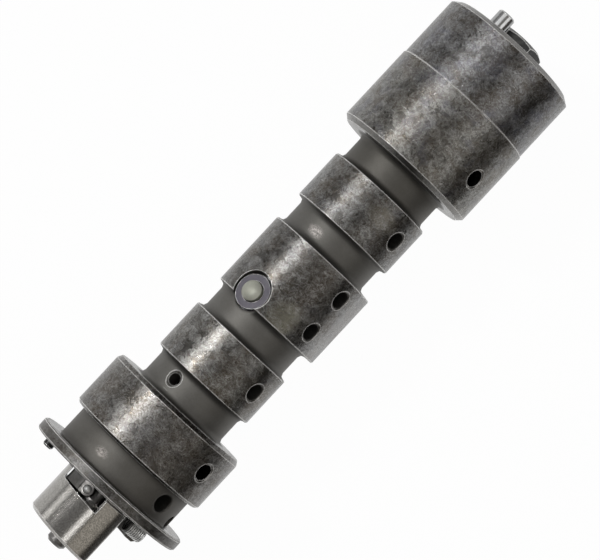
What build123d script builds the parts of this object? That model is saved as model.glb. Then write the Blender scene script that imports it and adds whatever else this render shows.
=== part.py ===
"""Single-cylinder engine camshaft with a centrifugal decompressor built into its hub end.

The shaft lies along X. The origin is on its axis, at the flange's outer face, and +X runs to the
end that carries the timing gear. Angles about the shaft are counted from +Z towards -Y.
Millimetres.
"""
from math import asin, cos, degrees, radians, sin, sqrt, tan
import os

from build123d import *

# ---- clearances -------------------------------------------------------------------------------
PRESS_GAP = 0.01          # radial, pressed pins and bushes
RUN_GAP = 0.05            # radial, turning and sliding fits
SIDE_GAP = 0.20           # faces that pass each other
CONTACT_GAP = 0.03        # between the plunger's nose and the cam flat
OVERCUT = 1.0             # how far a cut runs past the surface that it opens
RIGHT_ANGLE = 90.0

# ---- turned form: lengths along the shaft -----------------------------------------------------
HUB_LENGTH = 16.95        # on the axis; its end face leans
FLANGE_THICKNESS = 3.25
NECK_END = 12.0           # flange neck meets the near journal
NEAR_JOURNAL_LENGTH = 16.5
NEAR_SHAFT_LENGTH = 8.6
OUTER_LOBE_LENGTH = 14.8
FIRST_NECK_LENGTH = 8.15
CENTRE_LOBE_LENGTH = 22.1
SECOND_NECK_LENGTH = 7.95
END_LOBE_LENGTH = 14.65
PLAIN_SHAFT_LENGTH = 8.1
FAR_JOURNAL_LENGTH = 23.35
END_JOURNAL_LENGTH = 19.05

# ---- turned form: radii -----------------------------------------------------------------------
HUB_R = 11.3
FLANGE_R = 23.8
NECK_R = 18.35
NEAR_JOURNAL_R = 21.0
SHAFT_R = 13.4
FAR_JOURNAL_R = 20.55
END_JOURNAL_R = 20.3
NECK_FILLET = 1.3
RELIEF_WIDTH = 1.5        # grinding relief between hub and flange
RELIEF_DEPTH = 1.2
HUB_CHAMFER = 0.7
HUB_FACE_LEAN = 4.5       # degrees, longer on the flat's side
FLANGE_CHAMFER = 0.4
FLANGE_SEAM_TURN = 2.25   # degrees; a facet of its rim, not a corner, is then straight below
JOURNAL_CHAMFER = (1.3, 0.8)   # along the shaft, across it
FAR_CHAMFER = (1.3, 1.4)
END_CHAMFER = (1.3, 1.8)
NEAR_EDGE_CHAMFER = 0.7
STEP_EDGE_CHAMFER = 0.15  # far journal's edge at the end journal

# ---- lobes ------------------------------------------------------------------------------------
BASE_R = 15.3
NOSE_R = 8.7
LOBE_TIP_R = 20.15
FLANK_R = 90.0
LOBE_CHAMFER = 0.3
INTAKE_ANGLE = 190.0
EXHAUST_ANGLE = 131.3

# ---- oilways ----------------------------------------------------------------------------------
OIL_ANGLE = 49.0
OIL_HOLE_R = 2.35
OIL_MOUTH_R = 2.95
MOUTH_SLOPE = 0.6         # a mouth's depth for its width
GALLERY_R = 3.5
NEAR_JOURNAL_OIL_X = 20.9
OUTER_LOBE_OIL_X = 44.6
CENTRE_LOBE_OIL_X = (65.8, 76.9)
END_LOBE_OIL_X = 97.6
FAR_JOURNAL_OIL_X = 123.0
NECK_HOLE_R = 2.65
NECK_HOLE_X = 8.0
NECK_HOLE_ANGLE = 47.0
DRAIN_HOLE_R = 1.9
DRAIN_HOLE_X = 5.0
DRAIN_HOLE_ANGLE = 77.0

# ---- hub: flat and slot -----------------------------------------------------------------------
HUB_FLAT_Y = 9.0
HUB_FLAT_BEVEL = 0.1      # depth of the bevel along the flat's edges
SLOT_WIDTH = 4.5
SLOT_TOP_Y = 9.9
SLOT_BOTTOM_Y = -2.1
SLOT_UNDER_Y = 3.0
SLOT_CHAMFER = 0.6        # on the slot's edge away from the arm
SLOT_LEAN = 5.6           # degrees that the slot's outer wall leans

# ---- decompressor shaft -----------------------------------------------------------------------
STEM_R = 4.0
STEM_WAIST_R = 3.2
STEM_END_CLEAR = 1.0
STEM_SHOULDER_X = -16.4   # the stem's shoulder, just inside the hub's face
NUB_R = 2.75
NUB_LENGTH = 3.2
NUB_CHAMFER = 0.8
STEM_PAST_PLUNGER = 4.2   # how far the stem runs on beyond the plunger
MIDDLE_LAND_X = (26.0, 40.0)
CAM_LAND_X = 56.0
STEM_TURN = 18.0          # degrees that the stem turns in use
CAM_FLAT_DEPTH = 1.1      # flat cut below the stem's round
CAM_FLAT_LEAD = 36.7      # degrees from the plunger back to the flat's normal
CAM_FLAT_LENGTH = 7.0

# ---- drive pin --------------------------------------------------------------------------------
DRIVE_PIN_X = -2.6
DRIVE_PIN_ANGLE = -18.0
DRIVE_PIN_R = 0.7
DRIVE_PIN_SEAT = 2.4      # depth pressed into the stem
BALL_R = 1.15
BALL_CENTRE_R = 9.9

# ---- plunger and its bush ---------------------------------------------------------------------
PLUNGER_X = 63.3
PLUNGER_ANGLE = -28.5
PLUNGER_R = 2.75
PLUNGER_TOP_R = 15.9
DOME_HEIGHT = 1.0
SHOULDER_R = 4.1
SHOULDER_THICKNESS = 1.2
NOSE_TIP_R = 1.5
BUSH_R = 5.15
BUSH_TOP_R = 13.9
BUSH_SEAT_R = 9.6
BUSH_EDGE = 0.2
BUSH_NECK_R = 4.95        # the bush's top is turned down,
BUSH_NECK_DEPTH = 1.6     # over this depth,
BUSH_MOUTH_R = 5.3        # in a wider mouth
BUSH_MOUTH_SHIFT = 0.25   # that is cut this far along the shaft

# ---- retaining pin ----------------------------------------------------------------------------
RETAINER_X = 33.3
RETAINER_ANGLE = -27.7
RETAINER_R = 1.65
RETAINER_OUTER = 8.5
RETAINER_MOUTH_R = 2.45
GROOVE_DEPTH = 1.0

# ---- flyweight --------------------------------------------------------------------------------
PIVOT_Y = -6.0
PIVOT_Z = -14.0
PIVOT_PIN_R = 1.5
PIVOT_PIN_SEAT = 6.0
PIVOT_HEAD_R = 2.4
PIVOT_HEAD_THICKNESS = 1.0
EYE_R = 3.3
WEIGHT_INNER_R = 12.9
WEIGHT_OUTER_R = 16.6
WEIGHT_TIP_ANGLE = 70.0   # degrees from -Z towards -Y
WEIGHT_HEEL_ANGLE = 34.0  # degrees from -Z towards +Y
ARM_ROOT_ANGLE = 60.0     # the arm joins the ring up to here
FLYWEIGHT_FLANGE_GAP = 0.5
THICK_START_ANGLE = 38.0
THICK_EXTRA = 1.8
THICK_CHAMFER = 1.4
ARM_INNER_Y = 5.3
ARM_SIDE_GAP = 0.5
ARM_TOP_R = 10.7
TAB_HALF_WIDTH = 1.7
TAB_BELOW = 1.4
TAB_TOP_R = 10.45
TAB_REACH = 3.4

# ---- flyweight spring -------------------------------------------------------------------------
SPRING_R = 2.1
SPRING_WIRE_R = 0.27
SPRING_PITCH = 0.62
SPRING_TURNS = 9
SPRING_TILT = 25.0        # degrees that the outer end dips
SPRING_Z = 0.4
SPRING_FLAT_GAP = 0.2
SPRING_TAIL_SEAT = 1.2
SPRING_TAIL_LEAN = 0.6    # how far the outer tail leans back towards the hub
SPRING_TAIL_REACH = 1.6   # how far it goes down into the weight's tip
SPRING_HOLE_R = 0.4

# ---- pins and plug ----------------------------------------------------------------------------
FLANGE_PIN_R = 1.5
FLANGE_PIN_ANGLE = 239.4
FLANGE_PIN_INSET = 1.95   # centre, inside the flange's rim
FLANGE_PIN_OUT = 3.3
FLANGE_PIN_SEAT = 2.2
DOWEL_R = 2.5
DOWEL_Y = 7.0
DOWEL_Z = 11.4
DOWEL_OUT = 4.6
DOWEL_SEAT = 8.0
PIN_CHAMFER = 0.4
PLUG_FLATS = 13.0
PLUG_HEAD = 3.8
PLUG_WASHER_FACE = (6.2, 0.4)  # radius, height
PLUG_SPOT_FACE = (9.0, 0.6)    # radius, depth of the seat in the shaft's end
PLUG_BEVEL_SLOPE = 1.6    # how far the hexagon's bevel runs in, for its height
PLUG_THREAD_R = 4.95
PLUG_THREAD_LENGTH = 9.0
PLUG_THREAD_RUNOUT = 1.0
PLUG_CORNER_ANGLE = 25.0

# ---- places along the shaft -------------------------------------------------------------------
HUB_END = -HUB_LENGTH
NEAR_JOURNAL_END = NECK_END + NEAR_JOURNAL_LENGTH
OUTER_LOBE_X = NEAR_JOURNAL_END + NEAR_SHAFT_LENGTH
FIRST_NECK_X = OUTER_LOBE_X + OUTER_LOBE_LENGTH
CENTRE_LOBE_X = FIRST_NECK_X + FIRST_NECK_LENGTH
SECOND_NECK_X = CENTRE_LOBE_X + CENTRE_LOBE_LENGTH
END_LOBE_X = SECOND_NECK_X + SECOND_NECK_LENGTH
PLAIN_SHAFT_X = END_LOBE_X + END_LOBE_LENGTH
FAR_JOURNAL_X = PLAIN_SHAFT_X + PLAIN_SHAFT_LENGTH
END_JOURNAL_X = FAR_JOURNAL_X + FAR_JOURNAL_LENGTH
SHAFT_END = END_JOURNAL_X + END_JOURNAL_LENGTH
STEM_END = PLUNGER_X + STEM_PAST_PLUNGER
FLYWEIGHT_FACE = -SLOT_WIDTH + SIDE_GAP
PLUG_SEAT_X = SHAFT_END - PLUG_SPOT_FACE[1]


def direction(angle):
    """Unit vector away from the shaft's axis at an angle counted from +Z towards -Y."""
    turn = radians(angle)
    return Vector(0, -sin(turn), cos(turn))


def radial_plane(x, angle, radius):
    """Plane whose normal points away from the axis, at a radius."""
    away = direction(angle)
    return Plane(origin=Vector(x, 0, 0) + away * radius, x_dir=(1, 0, 0), z_dir=away)


def radial_cylinder(x, angle, inner, outer, radius):
    cylinder = Cylinder(radius, outer - inner, align=(Align.CENTER, Align.CENTER, Align.MIN))
    return radial_plane(x, angle, inner) * cylinder


def radial_cone(x, angle, inner, outer, inner_r, outer_r):
    cone = Cone(inner_r, outer_r, outer - inner, align=(Align.CENTER, Align.CENTER, Align.MIN))
    return radial_plane(x, angle, inner) * cone


def axial_plane(x, y=0.0, z=0.0):
    return Plane(origin=(x, y, z), x_dir=(0, 1, 0), z_dir=(1, 0, 0))


def axial_cylinder(start, end, radius, y=0.0, z=0.0):
    cylinder = Cylinder(radius, end - start, align=(Align.CENTER, Align.CENTER, Align.MIN))
    return axial_plane(start, y, z) * cylinder


def turned(points):
    """Solid of revolution about X from (x, radius) corners."""
    outline = Polyline(*points, close=True)
    return revolve(make_face(outline), Axis.X, 360)


def block(x_range, y_range, z_range):
    size = [high - low for low, high in (x_range, y_range, z_range)]
    middle = [(high + low) / 2 for low, high in (x_range, y_range, z_range)]
    return Pos(*middle) * Box(*size)


# ---- camshaft body ----------------------------------------------------------------------------
def turned_form():
    """Hub, flange, journals and shaft, without the lobes."""
    long, across = JOURNAL_CHAMFER
    far_long, far_across = FAR_CHAMFER
    end_long, end_across = END_CHAMFER
    under_lobe_r = SHAFT_R + NECK_FILLET
    flange = Rot(FLANGE_SEAM_TURN, 0, 0) * turned([
        (0, 0), (0, FLANGE_R - FLANGE_CHAMFER), (FLANGE_CHAMFER, FLANGE_R),
        (FLANGE_THICKNESS - FLANGE_CHAMFER, FLANGE_R),
        (FLANGE_THICKNESS, FLANGE_R - FLANGE_CHAMFER), (FLANGE_THICKNESS, 0)])
    near_journal = turned([
        (FLANGE_THICKNESS, 0), (FLANGE_THICKNESS, NECK_R), (NECK_END, NECK_R),
        (NECK_END, NEAR_JOURNAL_R - NEAR_EDGE_CHAMFER),
        (NECK_END + NEAR_EDGE_CHAMFER, NEAR_JOURNAL_R),
        (NEAR_JOURNAL_END - long, NEAR_JOURNAL_R), (NEAR_JOURNAL_END, NEAR_JOURNAL_R - across),
        (NEAR_JOURNAL_END, 0)])
    far_journal = turned([
        (FAR_JOURNAL_X, 0), (FAR_JOURNAL_X, FAR_JOURNAL_R - far_across),
        (FAR_JOURNAL_X + far_long, FAR_JOURNAL_R),
        (END_JOURNAL_X - STEP_EDGE_CHAMFER, FAR_JOURNAL_R),
        (END_JOURNAL_X, FAR_JOURNAL_R - STEP_EDGE_CHAMFER), (END_JOURNAL_X, END_JOURNAL_R),
        (SHAFT_END - end_long, END_JOURNAL_R), (SHAFT_END, END_JOURNAL_R - end_across),
        (SHAFT_END, 0)])
    form = hub() + flange + near_journal + far_journal
    necks = (
        (NEAR_JOURNAL_END, OUTER_LOBE_X), (FIRST_NECK_X, CENTRE_LOBE_X),
        (SECOND_NECK_X, END_LOBE_X), (PLAIN_SHAFT_X, FAR_JOURNAL_X))
    for start, end in necks:
        form += neck(start, end)
    for start, length in lobe_places():
        form += axial_cylinder(start, start + length, under_lobe_r)
    return form


def hub():
    """Plain hub with a grinding relief at the flange and a leaning, chamfered end face."""
    relief_r = HUB_R - RELIEF_DEPTH
    lean = radians(HUB_FACE_LEAN)
    longest = HUB_END - HUB_R * tan(lean)
    solid = turned([
        (longest, 0), (longest, HUB_R), (-RELIEF_WIDTH, HUB_R), (-RELIEF_WIDTH, relief_r),
        (0, relief_r), (0, 0)])
    face = Plane(origin=(HUB_END, 0, 0), x_dir=(0, 0, 1), z_dir=(-cos(lean), sin(lean), 0))
    solid -= face * Cylinder(2 * HUB_R, HUB_R, align=(Align.CENTER, Align.CENTER, Align.MIN))
    return chamfer(solid.faces().sort_by(Axis.X)[0].edges(), HUB_CHAMFER)


def neck(start, end):
    """Plain shaft between two places, eased into both."""
    return axial_cylinder(start, end, SHAFT_R) + fillet_ring(start, 1) + fillet_ring(end, -1)


def fillet_ring(x, side):
    """Ring that eases a lobe's face into the shaft, as two tapers that follow a quarter round."""
    middle = NECK_FILLET * (1 - sqrt(0.5))
    return turned([
        (x, SHAFT_R / 2), (x, SHAFT_R + NECK_FILLET), (x + side * middle, SHAFT_R + middle),
        (x + side * NECK_FILLET, SHAFT_R), (x + side * NECK_FILLET, SHAFT_R / 2)])


def lobe_places():
    return (
        (OUTER_LOBE_X, OUTER_LOBE_LENGTH),
        (CENTRE_LOBE_X, CENTRE_LOBE_LENGTH),
        (END_LOBE_X, END_LOBE_LENGTH))


def lobe_outline():
    """Cam outline: base arc, two convex flanks and the nose, tangent all round, nose along +Y."""
    nose_distance = LOBE_TIP_R - NOSE_R
    to_base = FLANK_R - BASE_R
    to_nose = FLANK_R - NOSE_R
    along = (to_base**2 - to_nose**2 + nose_distance**2) / (2 * nose_distance)
    across = sqrt(to_base**2 - along**2)
    centre = Vector(-across, along)
    base_point = centre + (Vector(0, 0) - centre).normalized() * FLANK_R
    nose_point = centre + (Vector(0, nose_distance) - centre).normalized() * FLANK_R
    middle = ((base_point + nose_point) * 0.5 - centre).normalized() * FLANK_R + centre
    right = [base_point, middle, nose_point]
    left = [Vector(-p.X, p.Y) for p in right]
    return Curve() + [
        ThreePointArc(left[0], (0, -BASE_R), right[0]), ThreePointArc(*right),
        ThreePointArc(right[2], (0, LOBE_TIP_R), left[2]), ThreePointArc(*left[::-1])]


def lobe(start, length, nose_angle):
    """One cam lobe with its nose at an angle about the shaft."""
    solid = extrude(make_face(lobe_outline()), length)
    rims = solid.edges().group_by(Axis.Z)
    solid = chamfer(rims[0] + rims[-1], LOBE_CHAMFER)
    nose = direction(nose_angle)
    side = nose.cross(Vector(1, 0, 0))
    return Plane(origin=(start, 0, 0), x_dir=side, z_dir=(1, 0, 0)) * solid


def oilways():
    """Gallery along the axis, the plug's seat in its end, and the drillings that it feeds."""
    outside = SHAFT_END + OVERCUT
    thread_end = PLUG_SEAT_X - PLUG_THREAD_LENGTH - PLUG_THREAD_RUNOUT
    cuts = axial_cylinder(HUB_END - HUB_R, STEM_END + STEM_END_CLEAR, STEM_R + RUN_GAP)
    cuts += axial_cylinder(STEM_END, outside, GALLERY_R)
    cuts += axial_cylinder(thread_end, outside, PLUG_THREAD_R + RUN_GAP)
    cuts += axial_cylinder(PLUG_SEAT_X, outside, PLUG_SPOT_FACE[0])
    drillings = [(NEAR_JOURNAL_OIL_X, NEAR_JOURNAL_R), (OUTER_LOBE_OIL_X, BASE_R)]
    drillings += [(x, BASE_R) for x in CENTRE_LOBE_OIL_X]
    drillings += [(END_LOBE_OIL_X, BASE_R), (FAR_JOURNAL_OIL_X, FAR_JOURNAL_R)]
    for x, surface in drillings:
        cuts += drilled(x, OIL_ANGLE, surface, OIL_HOLE_R, OIL_MOUTH_R)
    cuts += radial_cylinder(NECK_HOLE_X, NECK_HOLE_ANGLE, 0, NECK_R + OVERCUT, NECK_HOLE_R)
    cuts += radial_cylinder(DRAIN_HOLE_X, DRAIN_HOLE_ANGLE, 0, NECK_R + OVERCUT, DRAIN_HOLE_R)
    return cuts


def drilled(x, angle, surface, radius, mouth):
    """Hole to the axis with a countersunk mouth at a round surface."""
    wide = mouth - radius
    deep = wide * MOUTH_SLOPE
    hole = radial_cylinder(x, angle, 0, surface + OVERCUT, radius)
    return hole + radial_cone(x, angle, surface - deep, surface + deep, radius, mouth + wide)


def hub_cuts():
    """Flat on one side of the hub, and the slot that the flyweight's arm works in."""
    reach = HUB_R + OVERCUT
    flat = block((HUB_END - HUB_R, 0), (-reach, -HUB_FLAT_Y), (-reach, reach))
    wide = SLOT_WIDTH + (SLOT_TOP_Y - SLOT_BOTTOM_Y) * tan(radians(SLOT_LEAN))
    slot = extrude(make_face(Polyline(
        (0, SLOT_TOP_Y), (-SLOT_WIDTH, SLOT_TOP_Y), (-wide, SLOT_BOTTOM_Y), (0, SLOT_BOTTOM_Y),
        close=True)), reach, dir=(0, 0, 1))
    under = block((-SLOT_WIDTH, 0), (SLOT_UNDER_Y, SLOT_TOP_Y), (-reach, 0))
    edge_z = sqrt(HUB_R**2 - SLOT_BOTTOM_Y**2)
    side = SLOT_CHAMFER * sqrt(2)
    bevel = Pos(-wide / 2, SLOT_BOTTOM_Y, edge_z) * Rot(45, 0, 0) * Box(wide, side, side)
    return flat + slot + under + bevel + hub_flat_bevels()


def hub_flat_bevels():
    """Narrow bevels where the hub's flat meets its round."""
    edge_angle = degrees(asin(HUB_FLAT_Y / HUB_R))
    turn = (edge_angle + RIGHT_ANGLE) / 2
    depth_r = HUB_R * cos(radians(turn - edge_angle)) - HUB_FLAT_BEVEL
    strip = Box(2 * HUB_R, HUB_R, HUB_R, align=(Align.MAX, Align.CENTER, Align.MIN))
    cuts = [radial_plane(-RELIEF_WIDTH, angle, depth_r) * strip
            for angle in (turn, 2 * RIGHT_ANGLE - turn)]
    return cuts[0] + cuts[1]


def pin_seats():
    """Seats of the pressed pins, the bush, the plunger and the spring's fixed tail."""
    pivot = axial_cylinder(-OVERCUT, PIVOT_PIN_SEAT, PIVOT_PIN_R + PRESS_GAP, PIVOT_Y, PIVOT_Z)
    pin_y, pin_z = flange_pin_place()
    flange_pin = axial_cylinder(
        -OVERCUT, FLANGE_PIN_SEAT, FLANGE_PIN_R + PRESS_GAP, pin_y, pin_z)
    dowel = axial_cylinder(
        SHAFT_END - DOWEL_SEAT, SHAFT_END + OVERCUT, DOWEL_R + PRESS_GAP, DOWEL_Y, DOWEL_Z)
    bush = radial_cylinder(PLUNGER_X, PLUNGER_ANGLE, BUSH_SEAT_R, LOBE_TIP_R, BUSH_R + PRESS_GAP)
    mouth = radial_cylinder(
        PLUNGER_X + BUSH_MOUTH_SHIFT, PLUNGER_ANGLE, BUSH_TOP_R - BUSH_NECK_DEPTH, LOBE_TIP_R,
        BUSH_MOUTH_R)
    pocket = radial_cylinder(PLUNGER_X, PLUNGER_ANGLE, 0, BUSH_SEAT_R, SHOULDER_R + SIDE_GAP)
    retainer = drilled(RETAINER_X, RETAINER_ANGLE, SHAFT_R, RETAINER_R + PRESS_GAP, RETAINER_MOUTH_R)
    return pivot + flange_pin + dowel + bush + mouth + pocket + retainer + hub_tail_hole()


def camshaft_body():
    body = turned_form()
    for (start, length), angle in zip(lobe_places(), (INTAKE_ANGLE, EXHAUST_ANGLE, INTAKE_ANGLE)):
        body += lobe(start, length, angle)
    return body - oilways() - hub_cuts() - pin_seats()


# ---- decompressor shaft and drive pin ---------------------------------------------------------
def cam_flat_r():
    return STEM_R - CAM_FLAT_DEPTH


def plunger_nose_centre_r():
    """Radius of the nose's centre at rest, where the nose sits on the cam flat's corner."""
    lead = radians(CAM_FLAT_LEAD)
    half_flat = sqrt(STEM_R**2 - cam_flat_r()**2)
    reach = NOSE_TIP_R + CONTACT_GAP
    along = half_flat * sin(lead) + cam_flat_r() * cos(lead)
    return along + sqrt(along**2 - STEM_R**2 + reach**2)


def plunger_travel():
    """How far the plunger sinks while the stem makes its full turn."""
    low = (cam_flat_r() + NOSE_TIP_R + CONTACT_GAP) / cos(radians(CAM_FLAT_LEAD - STEM_TURN))
    return plunger_nose_centre_r() - low


def decompressor_shaft():
    """Stem with three bearing lands, a retaining groove and the cam flat under the plunger."""
    slot_land = -SLOT_WIDTH - SIDE_GAP
    nub_end = STEM_SHOULDER_X - NUB_LENGTH
    stem = axial_cylinder(STEM_SHOULDER_X, slot_land, STEM_R)
    stem += axial_cylinder(slot_land, STEM_END, STEM_WAIST_R)
    stem += axial_cylinder(*MIDDLE_LAND_X, STEM_R)
    stem += axial_cylinder(CAM_LAND_X, STEM_END, STEM_R)
    stem += turned([
        (STEM_SHOULDER_X, 0), (STEM_SHOULDER_X, NUB_R), (nub_end + NUB_CHAMFER, NUB_R),
        (nub_end, NUB_R - NUB_CHAMFER), (nub_end, 0)])
    groove_half = RETAINER_R + SIDE_GAP
    groove_ends = (RETAINER_X - groove_half, RETAINER_X + groove_half)
    groove = axial_cylinder(*groove_ends, STEM_R + OVERCUT)
    groove -= axial_cylinder(*groove_ends, STEM_R - GROOVE_DEPTH)
    flat_plane = radial_plane(PLUNGER_X, PLUNGER_ANGLE - CAM_FLAT_LEAD, cam_flat_r())
    flat = flat_plane * Box(
        CAM_FLAT_LENGTH, 3 * STEM_R, STEM_R, align=(Align.CENTER, Align.CENTER, Align.MIN))
    seat_foot = STEM_WAIST_R - DRIVE_PIN_SEAT
    seat = radial_cylinder(
        DRIVE_PIN_X, DRIVE_PIN_ANGLE, seat_foot, STEM_R + OVERCUT, DRIVE_PIN_R + PRESS_GAP)
    return stem - groove - flat - seat


def drive_pin():
    """Pin pressed into the stem; its ball works in the flyweight's tab."""
    foot = STEM_WAIST_R - DRIVE_PIN_SEAT + PRESS_GAP
    pin = radial_cylinder(DRIVE_PIN_X, DRIVE_PIN_ANGLE, foot, BALL_CENTRE_R, DRIVE_PIN_R)
    return pin + radial_plane(DRIVE_PIN_X, DRIVE_PIN_ANGLE, BALL_CENTRE_R) * Sphere(BALL_R)


def retaining_pin():
    """Pin that holds the stem endways, with its tip in the stem's groove."""
    tip = STEM_R - GROOVE_DEPTH + SIDE_GAP
    pin = radial_cylinder(RETAINER_X, RETAINER_ANGLE, tip, RETAINER_OUTER, RETAINER_R)
    return chamfer(pin.edges().filter_by(GeomType.CIRCLE), PIN_CHAMFER / 2)


# ---- plunger ----------------------------------------------------------------------------------
def radial_turned(x, angle, points):
    """Solid of revolution about a line away from the shaft, from (radius, height) corners."""
    outline = Polyline(*points, close=True)
    solid = revolve(make_face(Plane.XZ * outline), Axis.Z, 360)
    return radial_plane(x, angle, 0) * solid


def decompressor_plunger():
    """Domed plunger with a shoulder under the bush and a round nose on the cam flat."""
    shoulder_top = BUSH_SEAT_R - RUN_GAP
    shoulder_low = shoulder_top - SHOULDER_THICKNESS
    nose_centre = plunger_nose_centre_r()
    rim = PLUNGER_TOP_R - DOME_HEIGHT
    dome_r = (PLUNGER_R**2 + DOME_HEIGHT**2) / (2 * DOME_HEIGHT)
    body = radial_turned(PLUNGER_X, PLUNGER_ANGLE, [
        (0, nose_centre), (NOSE_TIP_R, nose_centre), (NOSE_TIP_R, shoulder_low),
        (SHOULDER_R, shoulder_low), (SHOULDER_R, shoulder_top), (PLUNGER_R, shoulder_top),
        (PLUNGER_R, rim), (0, rim)])
    dome = radial_plane(PLUNGER_X, PLUNGER_ANGLE, PLUNGER_TOP_R - dome_r) * Sphere(dome_r)
    cap = radial_cylinder(PLUNGER_X, PLUNGER_ANGLE, rim, PLUNGER_TOP_R + OVERCUT, PLUNGER_R) & dome
    nose = radial_plane(PLUNGER_X, PLUNGER_ANGLE, nose_centre) * Sphere(NOSE_TIP_R)
    return body + cap + nose


def plunger_guide_bush():
    """Hardened bush pressed into the centre lobe round the plunger."""
    bore = PLUNGER_R + RUN_GAP
    step = BUSH_TOP_R - BUSH_NECK_DEPTH
    rim = BUSH_TOP_R - BUSH_EDGE
    return radial_turned(PLUNGER_X, PLUNGER_ANGLE, [
        (bore, BUSH_SEAT_R), (BUSH_R, BUSH_SEAT_R), (BUSH_R, step), (BUSH_NECK_R, step),
        (BUSH_NECK_R, rim), (BUSH_NECK_R - BUSH_EDGE, BUSH_TOP_R),
        (bore + BUSH_EDGE, BUSH_TOP_R), (bore, rim)])


# ---- flyweight --------------------------------------------------------------------------------
def under_point(radius, angle):
    """(y, z) at a radius, at an angle counted from -Z towards +Y."""
    turn = radians(angle)
    return (radius * sin(turn), -radius * cos(turn))


def ring_sector(inner, outer, start, end):
    """Part of a ring round the shaft, as a face on the YZ plane."""
    middle = (start + end) / 2
    outline = Curve() + [
        ThreePointArc(under_point(outer, start), under_point(outer, middle), under_point(outer, end)),
        Line(under_point(outer, end), under_point(inner, end)),
        ThreePointArc(under_point(inner, end), under_point(inner, middle), under_point(inner, start)),
        Line(under_point(inner, start), under_point(outer, start))]
    return make_face(outline)


def socket_tab():
    """Tab over the stem whose round hole takes the drive pin's ball."""
    frame = radial_plane(DRIVE_PIN_X, DRIVE_PIN_ANGLE, BALL_CENTRE_R - TAB_BELOW)
    height = TAB_TOP_R - BALL_CENTRE_R + TAB_BELOW
    low = (Align.CENTER, Align.CENTER, Align.MIN)
    tab = Box(2 * TAB_HALF_WIDTH, TAB_REACH, height, align=(Align.CENTER, Align.MIN, Align.MIN))
    tab += Cylinder(TAB_HALF_WIDTH, height, align=low)
    return (frame * tab) & axial_cylinder(-SLOT_WIDTH, 0, TAB_TOP_R)


def flyweight():
    """C-shaped weight under the hub, with an arm up through the hub's slot."""
    arm_outer_y = SLOT_TOP_Y - ARM_SIDE_GAP
    width = -FLYWEIGHT_FACE - FLYWEIGHT_FLANGE_GAP
    web = ring_sector(WEIGHT_INNER_R, WEIGHT_OUTER_R, -WEIGHT_TIP_ANGLE, WEIGHT_HEEL_ANGLE)
    web += Pos(PIVOT_Y, PIVOT_Z) * Circle(EYE_R)
    arm_foot = -WEIGHT_INNER_R
    arm = Pos((ARM_INNER_Y + arm_outer_y) / 2, 0) * Rectangle(
        arm_outer_y - ARM_INNER_Y, -2 * arm_foot)
    root = ring_sector(ARM_INNER_Y, WEIGHT_OUTER_R, 0.0, ARM_ROOT_ANGLE)
    web += (arm & Circle(ARM_TOP_R)) + (arm & root)
    plate = axial_plane(FLYWEIGHT_FACE) * extrude(web, width)
    thick = extrude(
        ring_sector(WEIGHT_INNER_R, WEIGHT_OUTER_R, -WEIGHT_TIP_ANGLE, -THICK_START_ANGLE),
        THICK_EXTRA + width)
    outer_rim = thick.edges().group_by(Axis.Z)[0].sort_by(Edge.length)[-1]
    thick = chamfer(outer_rim, THICK_CHAMFER)
    weight = plate + axial_plane(FLYWEIGHT_FACE - THICK_EXTRA) * thick + socket_tab()
    weight -= radial_cylinder(
        DRIVE_PIN_X, DRIVE_PIN_ANGLE, STEM_WAIST_R, HUB_R + OVERCUT, BALL_R + RUN_GAP)
    weight -= axial_cylinder(
        FLYWEIGHT_FACE - OVERCUT, 0, PIVOT_PIN_R + RUN_GAP, PIVOT_Y, PIVOT_Z)
    return weight - tip_tail_hole()


def flyweight_pivot_pin():
    """Headed pin pressed into the flange."""
    head = FLYWEIGHT_FACE - SIDE_GAP
    pin = axial_cylinder(head, PIVOT_PIN_SEAT - PIN_CHAMFER, PIVOT_PIN_R, PIVOT_Y, PIVOT_Z)
    cap = axial_cylinder(head - PIVOT_HEAD_THICKNESS, head, PIVOT_HEAD_R, PIVOT_Y, PIVOT_Z)
    return pin + cap


# ---- flyweight spring -------------------------------------------------------------------------
def spring_x():
    return FLYWEIGHT_FACE / 2 - FLYWEIGHT_FLANGE_GAP


def spring_axis():
    """Start and direction of the coil, which dips as it leaves the hub's flat."""
    dip = radians(SPRING_TILT)
    away = Vector(0, -cos(dip), -sin(dip))
    outer_r = SPRING_R + SPRING_WIRE_R
    start_y = -HUB_FLAT_Y - SPRING_FLAT_GAP - outer_r * sin(dip)
    return Vector(spring_x(), start_y, SPRING_Z), away


def spring_plane():
    start, away = spring_axis()
    dip = radians(SPRING_TILT)
    return Plane(origin=start, x_dir=(0, sin(dip), -cos(dip)), z_dir=away)


def spring_ends():
    """First and last points of the coil's centre line, both on its lower side."""
    plane = spring_plane()
    length = SPRING_PITCH * SPRING_TURNS
    return plane.from_local_coords((SPRING_R, 0, 0)), plane.from_local_coords((SPRING_R, 0, length))


def tail(start, end):
    """Straight wire between two points, run back far enough to close the corner at its start."""
    way = end - start
    rod = Cylinder(
        SPRING_WIRE_R, way.length + SPRING_WIRE_R, align=(Align.CENTER, Align.CENTER, Align.MIN))
    return Plane(origin=start - way.normalized() * SPRING_WIRE_R, z_dir=way) * rod


def tail_tips():
    """Where the tails end, inside the hub's flat and inside the weight's tip."""
    first, last = spring_ends()
    hub_tip = Vector(first.X, -HUB_FLAT_Y + SPRING_TAIL_SEAT, first.Z)
    tip_z = -WEIGHT_INNER_R * cos(radians(WEIGHT_TIP_ANGLE))
    weight_tip = Vector(last.X, last.Y + SPRING_TAIL_LEAN, tip_z - SPRING_TAIL_REACH)
    return hub_tip, weight_tip


def tail_hole(start, end):
    way = end - start
    bore = Cylinder(
        SPRING_HOLE_R, way.length + SPRING_WIRE_R, align=(Align.CENTER, Align.CENTER, Align.MIN))
    return Plane(origin=start, z_dir=way) * bore


def hub_tail_hole():
    return tail_hole(spring_ends()[0], tail_tips()[0])


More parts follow.
